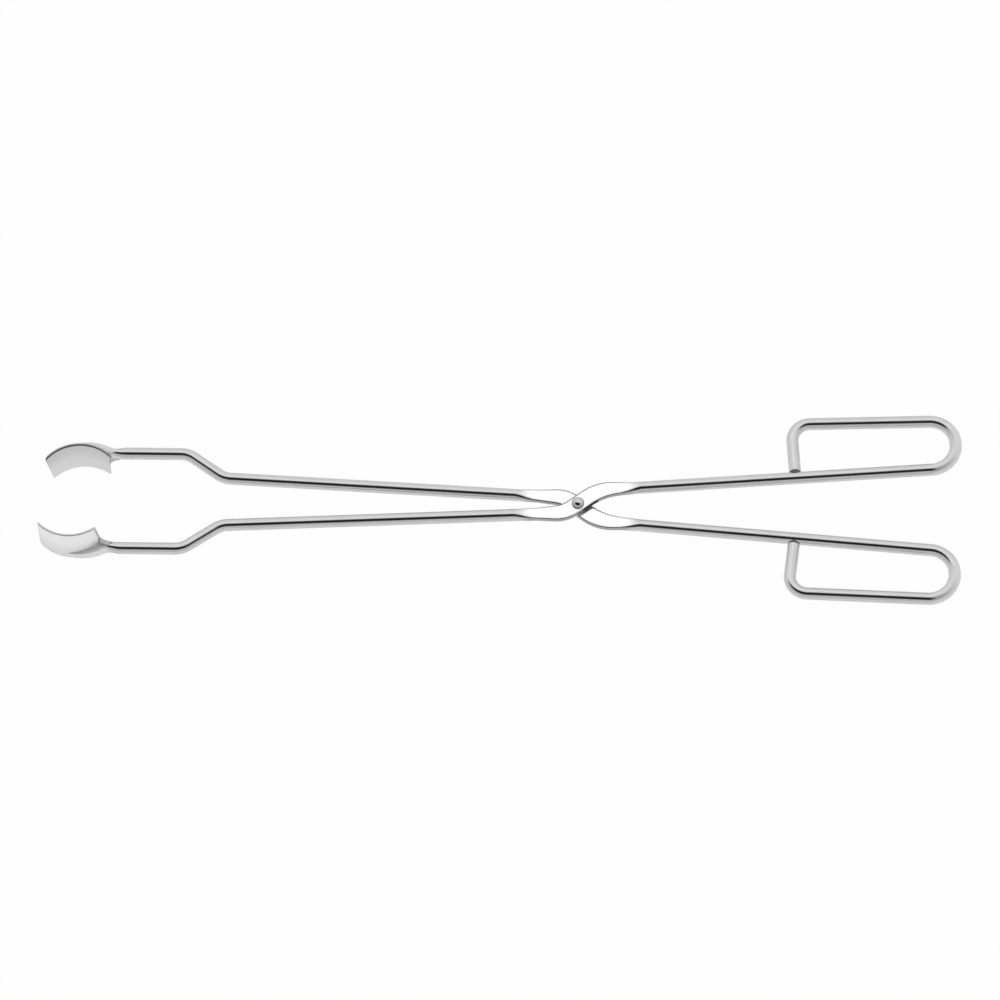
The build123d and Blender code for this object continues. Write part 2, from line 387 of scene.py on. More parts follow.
def rod_stations(sizes, start):
    """The rod's centreline from the jaw's neck to the foot of the stub."""
    end_x = sizes.loop_end - sizes.rod / 2
    foot = on_line(sizes.handle_offset, sizes.handle_angle, sizes.stub_foot)
    stub = Vector((-math.sin(sizes.stub_lean), math.cos(sizes.stub_lean)))
    stub_end = foot + stub * (sizes.rod / 2 + sizes.stub_gap)
    slope = math.tan(sizes.return_angle)
    reach = (sizes.return_offset + slope * stub_end.x - stub_end.y) / (stub.y - slope * stub.x)
    corners = [
        start,
        Vector((-sizes.crank_end, -sizes.stem_offset)),
        on_line(-sizes.shank_offset, sizes.shank_angle, -sizes.crank_start),
        meets_cross(sizes, -sizes.shank_offset, sizes.shank_angle),
        meets_cross(sizes, sizes.handle_offset, sizes.handle_angle),
        on_line(sizes.handle_offset, sizes.handle_angle, end_x),
        on_line(sizes.return_offset, sizes.return_angle, end_x),
        stub_end + stub * reach,
        stub_end,
    ]
    radii = [
        sizes.crank_radius,
        sizes.crank_radius,
        sizes.knuckle_jaw,
        sizes.knuckle_loop,
        sizes.loop_end_radius,
        sizes.loop_end_radius,
        sizes.loop_corner_radius,
    ]
    bent = [(start, (corners[1] - start).normalized())]
    for place, radius in enumerate(radii):
        bent += bend(*corners[place:place + 3], radius)
    bent.append((stub_end, -stub))

    stations = bent[:1]
    for (point, direction), (goal, goal_direction) in zip(bent, bent[1:]):
        near_rivet = min(abs(point.x), abs(goal.x)) < sizes.press_start or point.x * goal.x < 0
        gap = CLOSE_GAP if near_rivet else WIDE_GAP
        count = math.ceil((goal - point).length / gap)
        for step in range(1, count + 1):
            part = step / count
            heading = direction.lerp(goal_direction, part).normalized()
            stations.append((point.lerp(goal, part), heading))
    return stations


def press_depth(sizes, x):
    """Half thickness left by the press at a distance from the rivet."""
    full = sizes.flat_thick / 2
    slope = (sizes.rod / 2 - full) / (sizes.press_start - sizes.press_full)
    ease = sizes.press_blend * math.tan(math.atan(slope) / 2)
    past = abs(x) - sizes.press_full + ease
    if past <= 0:
        return full
    if past < sizes.press_blend * math.sin(math.atan(slope)):
        return full + sizes.press_blend - math.sqrt(sizes.press_blend**2 - past**2)
    return min(full + slope * (abs(x) - sizes.press_full), sizes.rod / 2)


def leaf_half(sizes, x, knuckles):
    """Half width of the flat's leaf-shaped outline at a distance from the rivet."""
    knuckle = abs(knuckles[0].x) if x < 0 else knuckles[1].x
    grown = (sizes.flat_reach - abs(x)) / (sizes.flat_reach - knuckle)
    if grown > 1 + LEAF_EASE:
        grown = 1
    elif grown > 1 - LEAF_EASE:
        grown = grown - (grown - 1 + LEAF_EASE) ** 2 / (4 * LEAF_EASE)
    return (sizes.flat_end_width + (sizes.flat_width - sizes.flat_end_width) * grown) / 2


def quarter_ring(depth, width_half, pressed):
    """One quarter of the rod's section, from the top to the side, squarer where it is pressed."""
    power = 2 / (2 + SQUARED * pressed**2)
    ring = []
    for step in range(SECTION_STEPS):
        angle = math.pi / 2 * step / SECTION_STEPS
        ring.append((width_half * math.sin(angle) ** power, depth * math.cos(angle) ** power))
    return ring + [(width_half, 0.0)]


def full_ring(quarter):
    """The whole section from its quarter."""
    right_side = quarter + [(across, -up) for across, up in reversed(quarter[:-1])]
    return right_side + [(-across, up) for across, up in reversed(right_side[1:-1])]


def around_jaw(jaws, radius, angle):
    """Point about the jaw's axis."""
    x = jaws.centre_x + radius * math.cos(angle)
    return Vector((x, jaws.centre_y + radius * math.sin(angle)))


def stem_start(sizes, jaws):
    """Point where the rod is round again behind the jaw."""
    x = jaws.centre_x + jaws.root_reach + jaws.neck - jaws.neck_lead
    return Vector((x, -sizes.stem_offset))


def stepped(value, band):
    """Smooth step from nothing to all across a band of values."""
    start, end = band
    part = min(max((value - start) / (end - start), 0.0), 1.0)
    return part * part * (3 - 2 * part)


def eased(start, end, start_slope, end_slope, part):
    """Smooth curve between two values with given slopes."""
    grown = part * part * (3 - 2 * part)
    lead = part * (1 - part) ** 2
    tail = part * part * (part - 1)
    return start * (1 - grown) + end * grown + start_slope * lead + end_slope * tail


def eased_slope(start, end, start_slope, end_slope, part):
    """Direction of the same curve."""
    grown = 6 * part * (1 - part)
    lead = (1 - part) * (1 - 3 * part)
    tail = part * (3 * part - 2)
    return (end - start) * grown + start_slope * lead + end_slope * tail


def tang_rings(sizes, jaws):
    """Sections of the hammered end, up to the round rod: point, direction, half sizes, satin."""
    outer = jaws.inner + jaws.thick
    posts = []
    for step in range(jaws.tang_steps, -1, -1):
        part = step / jaws.tang_steps
        angle = jaws.tang_root_angle + part * (jaws.tang_end_angle - jaws.tang_root_angle)
        thick = jaws.tang_root_thick + part * (jaws.tang_end_thick - jaws.tang_root_thick)
        width = jaws.tang_root_width + part * (jaws.tang_end_width - jaws.tang_root_width)
        centre = around_jaw(jaws, outer + (thick - jaws.tang_overlap) / 2, angle)
        along = Vector((-math.sin(angle), math.cos(angle)))
        posts.append((centre, along, (thick + jaws.tang_overlap) / 2, width / 2))
    posts.append((stem_start(sizes, jaws), Vector((1, 0)), sizes.rod / 2, sizes.rod / 2))

    rings = []
    for place, (first, second) in enumerate(zip(posts, posts[1:])):
        span = (second[0] - first[0]).length
        last = place == len(posts) - 2
        steps = NECK_STEPS if last else HAMMER_STEPS
        for step in range(steps):
            part = step / steps
            curve = (first[0], second[0], first[1] * span, second[1] * span, part)
            if last:
                thin_slope = (first[2] - posts[place - 1][2]) * NECK_SWELL
                thin = eased(first[2], second[2], thin_slope, 0.0, part)
                wide = eased(first[3], second[3], 0.0, 0.0, part)
                satin = 1 - stepped(part, NECK_BAND)
            else:
                thin = first[2] + (second[2] - first[2]) * part
                wide = first[3] + (second[3] - first[3]) * part
                satin = 1.0
            rings.append((eased(*curve), eased_slope(*curve).normalized(), thin, wide, satin))
    return rings


def arm_sections(sizes, jaws, side_up):
    """Sections from the hammered tip to the stub's foot: point, direction, ring, press, satin."""
    knuckles = (
        meets_cross(sizes, -sizes.shank_offset, sizes.shank_angle),
        meets_cross(sizes, sizes.handle_offset, sizes.handle_angle),
    )
    rod_half = sizes.rod / 2
    full = sizes.flat_thick / 2
    round_end_x = sizes.loop_end - rod_half - sizes.loop_end_radius
    sections = []
    for point, heading, thin, wide, satin in tang_rings(sizes, jaws):
        sections.append((point, heading, full_ring(quarter_ring(wide, thin, satin)), 0.0, satin))
    for point, heading in rod_stations(sizes, stem_start(sizes, jaws)):
        depth = press_depth(sizes, point.x) if abs(point.x) < sizes.press_start else rod_half
        pressed = (rod_half - depth) / (rod_half - full)
        half = max(rod_half, leaf_half(sizes, point.x, knuckles))
        ring = full_ring(quarter_ring(depth, half, pressed))
        satin = 0.0
        if point.x > round_end_x:
            turned = side_up * (math.degrees(math.atan2(heading.y, heading.x)) - 90)
            satin_end = SATIN_END_FRONT if side_up > 0 else SATIN_END_BACK
            satin = stepped(turned, SATIN_START) * (1 - stepped(turned, satin_end))
        sections.append((point, heading, ring, pressed, satin))

    # the cut ends are closed over a small bevel
    bevel = rod_half * BEVEL
    first, last = sections[0], sections[-1]
    tip_ring = [(across * TIP_LEFT[0], up * TIP_LEFT[1]) for across, up in first[2]]
    cut_ring = [(across * CUT_LEFT, up * CUT_LEFT) for across, up in last[2]]
    tip = (first[0] - first[1] * bevel / 4, first[1], tip_ring, 0.0, 1.0)
    held = (last[0] - last[1] * bevel * BEVEL_HELD, *last[1:])
    drawn = (last[0] - last[1] * bevel, *last[1:])
    cut = (last[0], last[1], cut_ring, 0.0, 0.0)
    return [tip] + sections[:-1] + [held, drawn, cut]


def arm_shell(sizes, jaws, side_up):
    """Mesh of an arm, in the front arm's place: points, faces, grain places and the points' traits.

    side_up is 1 for the front arm and -1 for the arm that is then turned over.
    """
    sections = arm_sections(sizes, jaws, side_up)
    stem_x = stem_start(sizes, jaws).x
    verts, along, around = [], [], []
    traits = {"pressed": [], "edge": [], "satin": [], "hammered": []}
    travelled = 0.0
    for place, (point, heading, ring, pressed, satin) in enumerate(sections):
        if place:
            travelled += (point - sections[place - 1][0]).length
        side = left_of(heading)
        top = max(up for _, up in ring)
        width = max(across for across, _ in ring)
        crossing = stepped(point.x, CROSSING_START) * (1 - stepped(point.x, CROSSING_END))
        ringed = 0.0
        for spot, (across, up) in enumerate(ring):
            if spot:
                ringed += math.dist(ring[spot - 1], ring[spot])
            along.append(travelled)
            around.append(ringed)
            x = RIVET_X + point.x + side.x * across
            verts.append((x, point.y + side.y * across, sizes.level + up))
            # Painted shade: the flats' side faces, the far side of their top and the front flat's
            # near side beside the rivet are darkened to near-black metal
            far = stepped(across * side_up / width, FAR_BAND)
            level = stepped(abs(up) / top, LEVEL_BAND) * (1 - FAR_SHADE_TAKEN * far)
            beside_rivet = crossing if across < 0 and side_up > 0 else 0.0
            painted_dark = max(SIDE_SHADE_LEAST, beside_rivet, far)
            # The pressed trait whitens the flats' top and bottom faces, partly as painted
            # reflection
            traits["pressed"].append(stepped(pressed, PRESSED_BAND) * level)
            traits["edge"].append(stepped(pressed, EDGE_BAND) * (1 - level) * painted_dark)
            traits["satin"].append(satin)
            traits["hammered"].append(satin if point.x < stem_x else 0.0)
    faces, places = rod_faces(sections, along, around)
    return verts, faces, places, traits


def rod_faces(sections, along, around):
    """Faces between the sections and over the two ends, and where each corner lies on the rod."""
    count = len(sections[0][2])
    faces, places = [], []
    for place in range(len(sections) - 1):
        closing = math.dist(sections[place][2][-1], sections[place][2][0])
        for spot in range(count):
            following = (spot + 1) % count
            quad = (
                place * count + spot,
                (place + 1) * count + spot,
                (place + 1) * count + following,
                place * count + following,
            )
            faces.append(quad)
            for corner in quad:
                wrapped = following == 0 and corner % count == 0
                turn_place = around[quad[0]] + closing if wrapped else around[corner]
                places.append((along[corner], turn_place))
    tip_face = tuple(reversed(range(count)))
    cut_face = tuple(range((len(sections) - 1) * count, len(sections) * count))
    for face in (tip_face, cut_face):
        faces.append(face)
        places += [(along[corner], around[corner]) for corner in face]
    return faces, places


class Nodes:
    """Node tree, with short calls for its parts."""

    def __init__(self, tree):
        self.tree = tree

    def give(self, socket, value):
        """Link a socket to another, or set its number, vector or colour."""
        if isinstance(value, bpy.types.NodeSocket):
            self.tree.links.new(value, socket)
        elif socket.type == "RGBA":
            socket.default_value = (*value, 1)
        else:
            socket.default_value = value

    def add(self, kind, settings=None, **inputs):
        """Add a node with its settings and inputs."""
        node = self.tree.nodes.new(kind)
        for key, value in (settings or {}).items():
            setattr(node, key, value)
        for key, value in inputs.items():
            self.give(node.inputs[key.replace("_", " ")], value)
        return node

    def coordinate(self, kind, scale=(1, 1, 1)):
        """Place on the piece, stretched."""
        source = self.add("ShaderNodeTexCoord").outputs[kind]
        return self.add("ShaderNodeMapping", Vector=source, Scale=scale).outputs["Vector"]

    def noise(self, vector, scale, detail):
        """Clouds or grain, depending on the scale."""
        node = self.add("ShaderNodeTexNoise", Vector=vector, Scale=scale, Detail=detail)
        self.give(node.inputs["Roughness"], NOISE_ROUGHNESS)
        return node.outputs["Fac"]

    def ramp(self, value, band, low, high, smooth=False):
        """Carry a value over from a band to a range."""
        kind = "SMOOTHSTEP" if smooth else "LINEAR"
        node = self.add("ShaderNodeMapRange", {"interpolation_type": kind}, Value=value)
        for socket, number in zip(node.inputs[1:5], (*band, low, high)):
            socket.default_value = number
        return node.outputs["Result"]

    def spread(self, noise, low=0.0, high=1.0):
        """Spread the middle of a noise over a range."""
        return self.ramp(noise, NOISE_BAND, low, high)

    def varied(self, noise, roughness, shares):
        """Roughness that varies with a noise."""
        return self.spread(noise, roughness * shares[0], roughness * shares[1])

    def tint(self, factor, first, second):
        """Mix of two colours, which are the node's inputs 6 and 7."""
        node = self.add("ShaderNodeMix", {"data_type": "RGBA"})
        for place, value in ((0, factor), (6, first), (7, second)):
            self.give(node.inputs[place], value)
        return node.outputs[2]

    def between(self, factor, first, second):
        """Mix of two numbers, which are the node's inputs 2 and 3."""
        node = self.add("ShaderNodeMix", {"data_type": "FLOAT"})
        for place, value in ((0, factor), (2, first), (3, second)):
            self.give(node.inputs[place], value)
        return node.outputs[0]

    def maths(self, operation, *values):
        """Result of a sum, a product or a comparison."""
        node = self.add("ShaderNodeMath", {"operation": operation})
        for socket, value in zip(node.inputs, values):
            self.give(socket, value)
        return node.outputs[0]

    def trait(self, name):
        """A trait that the mesh carries."""
        return self.add("ShaderNodeAttribute", {"attribute_name": name}).outputs["Fac"]

    def bump(self, height, strength, distance):
        """Fine relief from a noise."""
        node = self.add("ShaderNodeBump", Height=height, Strength=strength, Distance=distance)
        return node.outputs["Normal"]


class Finish(Nodes):
    """Node tree of one material."""

    def __init__(self, name):
        self.material = bpy.data.materials.new(name)
        self.material.use_nodes = True
        super().__init__(self.material.node_tree)
        self.shader = self.tree.nodes["Principled BSDF"]

    def feed(self, socket, value):
        """Link or set one of the shader's inputs."""
        self.give(self.shader.inputs[socket], value)


def darker(colour, amount):
    """The same colour, darkened."""
    return tuple(part * amount for part in colour)


def rod_metal(finishes):
    """Plated rod with a drawn grain, satin at the loop, dull at the tip; the flats' top and bottom
    faces are whiter, partly real plating and partly painted reflection, and their side faces are
    painted near-black as shade.
    """
    nodes = Finish("plated_rod")
    nodes.feed("Specular IOR Level", 0.0)
    lines = nodes.noise(nodes.coordinate("UV", DRAWN_STRETCH), *DRAWN_GRAIN)
    clouded = nodes.spread(nodes.noise(nodes.coordinate("Object"), *PLATING_CLOUDS))
    pressed, edge = nodes.trait("pressed"), nodes.trait("edge")
    satin, hammered = nodes.trait("satin"), nodes.trait("hammered")
    # The edge trait turns the flats' side faces into near-black painted shade
    nodes.feed("Metallic", nodes.between(edge, 1.0, 0.0))
    flat = nodes.tint(clouded, darker(finishes.flat, FLAT_CLOUD), finishes.flat)
    colour = nodes.tint(clouded, darker(finishes.rod, ROD_CLOUD), finishes.rod)
    colour = nodes.tint(satin, colour, finishes.satin)
    colour = nodes.tint(hammered, colour, finishes.hammered)
    # Whiter flats: partly real plating, partly painted reflection on their top and bottom faces
    colour = nodes.tint(pressed, colour, flat)
    nodes.feed("Base Color", nodes.tint(edge, colour, finishes.edge))
    polish = nodes.varied(lines, finishes.rod_polish, BRIGHT_VARIES)
    polish = nodes.between(pressed, polish, finishes.flat_polish)
    polish = nodes.between(satin, polish, finishes.satin_polish)
    nodes.feed("Roughness", nodes.between(hammered, polish, finishes.hammered_polish))
    nodes.feed("Normal", nodes.bump(lines, *ROD_BUMP))
    return nodes.material


def rivet_metal(finishes):
    """Bright plating with faint clouds, with painted shade darker towards the rim of the head."""
    nodes = Finish("rivet_plating")
    nodes.feed("Metallic", 1.0)
    place = nodes.coordinate("Object")
    lines = nodes.noise(place, *RIVET_GRAIN)
    clouded = nodes.spread(nodes.noise(place, *PLATING_CLOUDS))
    colour = nodes.tint(clouded, darker(finishes.rivet, RIVET_CLOUD), finishes.rivet)
    # Painted shade round the rim of the head
    rim = darker(finishes.rivet, RIVET_RIM_SHADE)
    nodes.feed("Base Color", nodes.tint(nodes.trait("rim"), colour, rim))
    nodes.feed("Roughness", nodes.varied(lines, finishes.rivet_polish, BRIGHT_VARIES))
    nodes.feed("Normal", nodes.bump(lines, *RIVET_BUMP))
    return nodes.material


def jaw_metal(name, colour, roughness):
    """Satin sheet, cloudy and faintly pitted, with painted shade darker towards its rim by the rod
    and a painted shade line along its inner edge there.
    """
    nodes = Finish(name)
    nodes.feed("Metallic", 1.0)
    place = nodes.coordinate("Object")
    clouds = nodes.noise(place, *SHEET_CLOUDS)
    # The height trait darkens the sheet towards the rod as painted shade
    height = nodes.trait("height")
    light = nodes.tint(height, darker(colour, SHEET_LOW_SHADE), colour)
    dark = nodes.tint(height, darker(colour, SHEET_LOW_CLOUD_AND_SHADE), darker(colour, SHEET_HIGH_CLOUD))
    sheet = nodes.tint(nodes.spread(clouds), dark, light)
    painted_rim_shade = darker(colour, SHEET_RIM_SHADE)
    nodes.feed("Base Color", nodes.tint(nodes.trait("painted_rim_shade"), sheet, painted_rim_shade))
    nodes.feed("Roughness", nodes.varied(clouds, roughness, DULL_VARIES))
    nodes.feed("Normal", nodes.bump(nodes.noise(place, *SHEET_PITS), *SHEET_BUMP))
    return nodes.material


def joined_metal(name, colour, roughness):
    """Dull filed braze or weld."""
    nodes = Finish(name)
    nodes.feed("Metallic", 1.0)
    lumps = nodes.noise(nodes.coordinate("Object"), *JOIN_LUMPS)
    nodes.feed("Base Color", nodes.tint(nodes.spread(lumps), darker(colour, JOIN_CLOUD), colour))
    nodes.feed("Roughness", nodes.varied(lumps, roughness, DULL_VARIES))
    nodes.feed("Normal", nodes.bump(lumps, *JOIN_BUMP))
    return nodes.material


class TONGS_OT_arms(bpy.types.Operator):
    """Bend and press the two arms from round rod"""

    bl_idname = "tongs.arms"
    bl_label = "Make Arms"

    def execute(self, context):
        sizes, jaws = context.scene.tongs_arm, context.scene.tongs_jaw
        materials = [rod_metal(context.scene.tongs_finish)]
        verts, faces, places, traits = arm_shell(sizes, jaws, 1)
        front = piece_of(
            "front_arm_rod", verts, faces, "front_side", materials,
            places=places, traits=traits,
        )
        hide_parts("front_arm")
        verts, faces, places, traits = arm_shell(sizes, jaws, -1)
        verts = turned_over(verts)
        back = piece_of(
            "back_arm_rod", verts, faces, "back_side", materials,
            places=places, traits=traits,
        )
        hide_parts("back_arm")
        return {"FINISHED"}


def plate_outline(jaws, inset, z):
    """Ends of the plate at a height, as distances along the tongs from the jaw's axis."""
    low = -jaws.tip_reach + jaws.tip_setback * z / jaws.height + inset
    high = jaws.root_reach - jaws.root_setback * z / jaws.height - inset
    corner = jaws.corner - inset
    from_edge = min(z, jaws.height - z) - inset
    if from_edge < corner:
        drawn_in = corner - math.sqrt(max(corner**2 - (corner - from_edge) ** 2, 0.0))
        low += drawn_in
        high -= drawn_in
    return low, high


def plate_rows():
    """Heights of the plate's rows, close together near its edges, as shares of the height."""
    first = CLOSE_ROWS[-1]
    middle = [first + (1 - 2 * first) * step / PLATE_ROWS for step in range(1, PLATE_ROWS)]
    return [*CLOSE_ROWS, *middle, *(1 - part for part in reversed(CLOSE_ROWS))]


def jaw_shell(jaws, sizes):
    """Mesh of the front jaw, a curved plate with rounded edges: points, faces, marks and traits."""
    rows = plate_rows()
    bottom = sizes.level - sizes.rod / 2 - jaws.overhang
    outer = jaws.inner + jaws.thick

    def spot(x, z, depth):
        """Point of the plate at a share of its thickness, from the outer to the inner face."""
        far = math.sqrt(outer**2 - x * x)
        near = math.sqrt(jaws.inner**2 - x * x)
        y = -(far + (near - far) * depth)
        return (RIVET_X + jaws.centre_x + x, jaws.centre_y + y, bottom + z)

    def grid(inset, depth):
        """Rows of points of one face, inset from the outline."""
        points = []
        for part in rows:
            z = inset + (jaws.height - 2 * inset) * part
            low, high = plate_outline(jaws, inset, z)
            for column in range(PLATE_COLUMNS + 1):
                x = low + (high - low) * (column / PLATE_COLUMNS)
                points.append(spot(x, z, depth))
        return points

    width = PLATE_COLUMNS + 1
    size = width * len(rows)
    edge_ring = list(range(width))
    edge_ring += range(2 * width - 1, size, width)
    edge_ring += range(size - 2, size - width - 1, -1)
    edge_ring += range(size - 2 * width, 0, -width)

    verts = grid(jaws.edge, 0.0) + grid(jaws.edge, 1.0)
    faces = []
    for row in range(len(rows) - 1):
        for column in range(PLATE_COLUMNS):
            first = row * width + column
            quad = (first, first + 1, first + width + 1, first + width)
            faces.append(quad)
            faces.append(tuple(size + corner for corner in reversed(quad)))
    marks = [0] * len(faces)

    rounding = []
    for step in range(1, RIM_STEPS + 1):
        angle = math.pi / 2 * step / RIM_STEPS
        depth = jaws.edge / jaws.thick * (1 - math.cos(angle))
        rounding.append((jaws.edge * (1 - math.sin(angle)), depth))
    rounding += [(inset, 1 - depth) for inset, depth in reversed(rounding)]
    rings = [edge_ring]
    for inset, depth in rounding:
        points = grid(inset, depth)
        rings.append(list(range(len(verts), len(verts) + len(edge_ring))))
        verts += [points[corner] for corner in edge_ring]
    rings.append([size + corner for corner in edge_ring])
    for near, far in zip(rings, rings[1:]):
        for place in range(len(near)):
            following = (place + 1) % len(near)
            faces.append((near[place], far[place], far[following], near[following]))
    marks += [1] * (len(faces) - len(marks))

    # Traits for painted shade: a dark line along the inner edge by the rod, and darkening towards
    # the rod
    traits = {"painted_rim_shade": [], "height": []}
    for x, y, z in verts:
        into = (outer - math.hypot(x - RIVET_X - jaws.centre_x, y - jaws.centre_y)) / jaws.thick
        low_down = 1 - stepped(z - bottom, RIM_SHADE_HEIGHT)
        traits["painted_rim_shade"].append(stepped(into, RIM_SHADE_DEPTH) * low_down)
        traits["height"].append(stepped((z - bottom) / jaws.height, SHEET_SHADE_BAND))
    return verts, faces, marks, traits


class TONGS_OT_jaws(bpy.types.Operator):
    """Roll the two curved jaw plates"""

    bl_idname = "tongs.jaws"
    bl_label = "Make Jaws"

    def execute(self, context):
        finishes = context.scene.tongs_finish
        rim = jaw_metal("cut_rim", finishes.rim, finishes.rim_polish)
        front_sheet = jaw_metal("satin_sheet_front", finishes.jaw, finishes.jaw_polish)
        # The back jaw's sheet is the front jaw's sheet darkened as painted shade
        shaded_back_sheet = jaw_metal("satin_sheet_back_shaded", finishes.back_jaw, finishes.jaw_polish)
        verts, faces, marks, traits = jaw_shell(context.scene.tongs_jaw, context.scene.tongs_arm)
        front = piece_of(
            "front_jaw_plate", verts, faces, "front_side", [front_sheet, rim],
            marks=marks, traits=traits,
        )
        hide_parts("front_jaw")
        verts = turned_over(verts)
        back = piece_of(
            "back_jaw_plate", verts, faces, "back_side", [shaded_back_sheet, rim],
            marks=marks, traits=traits,
        )
        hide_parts("back_jaw")
        return {"FINISHED"}


class TONGS_OT_joins(bpy.types.Operator):
    """Give the braze and weld metal its dull finish"""

    bl_idname = "tongs.joins"
    bl_label = "Finish Joins"

    def execute(self, context):
        finishes = context.scene.tongs_finish
        braze = joined_metal("filed_braze", finishes.braze, BRAZE_ROUGHNESS)
        weld = joined_metal("dull_weld", finishes.weld, WELD_ROUGHNESS)
        for node, material in (
            ("front_jaw_braze", braze),
            ("back_jaw_braze", braze),
            ("front_loop_weld", weld),
            ("back_loop_weld", weld),
        ):
            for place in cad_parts[node].material_slots:
                place.material = material
        return {"FINISHED"}


class TONGS_OT_rivet(bpy.types.Operator):
    """Turn the domed rivet that the arms swing on"""

    bl_idname = "tongs.rivet"
    bl_label = "Make Rivet"

    def execute(self, context):
        rivet = context.scene.tongs_rivet
        profile = self.dome(rivet.head / 2, rivet.head_height - rivet.head_wall)
        profile = [(radius, rivet.head_seat + rivet.head_wall + up) for radius, up in profile]
        for step in range(HEAD_RIM_STEPS + 1):
            angle = math.pi / 2 * step / HEAD_RIM_STEPS
            radius = rivet.head / 2 - rivet.rim * (1 - math.cos(angle))
            profile.append((radius, rivet.head_seat + rivet.rim * (1 - math.sin(angle))))
        tail = self.dome(rivet.tail / 2, rivet.tail_height)
        profile += [(radius, -rivet.tail_seat - up) for radius, up in reversed(tail)]
        verts, faces = self.lathe(profile)
        # The rim trait carries the head's painted shade
        outward = [math.hypot(x - RIVET_X, y) / (rivet.head / 2) for x, y, _ in verts]
        piece = piece_of(
            "rivet_domed", verts, faces, "back_side",
            [rivet_metal(context.scene.tongs_finish)],
            traits={"rim": [stepped(part, RIVET_SHADE_BAND) for part in outward]},
        )
        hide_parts("pivot_rivet")
        return {"FINISHED"}

    def dome(self, radius, height):
        """Profile of a dome, from its top to its rim."""
        ball = (radius**2 + height**2) / (2 * height)
        opening = math.asin(min(radius / ball, 1.0))
        profile = []
        for step in range(DOME_STEPS + 1):
            angle = opening * step / DOME_STEPS
            profile.append((ball * math.sin(angle), ball * math.cos(angle) - ball + height))
        return profile

    def lathe(self, profile):
        """Turn a profile about the rivet's axis."""
        count = LATHE_STEPS
        verts = [(RIVET_X, 0.0, profile[0][1])]
        for radius, up in profile[1:-1]:
            for step in range(count):
                angle = 2 * math.pi * step / count
                verts.append((RIVET_X + radius * math.cos(angle), radius * math.sin(angle), up))
        verts.append((RIVET_X, 0.0, profile[-1][1]))
        faces = []
        last = len(verts) - 1
        for step in range(count):
            following = (step + 1) % count
            faces.append((0, 1 + step, 1 + following))
            faces.append((last - count + following, last - count + step, last))
            for near in range(1, last - count, count):
                far = near + count
                faces.append((near + step, far + step, far + following, near + following))
        return verts, faces


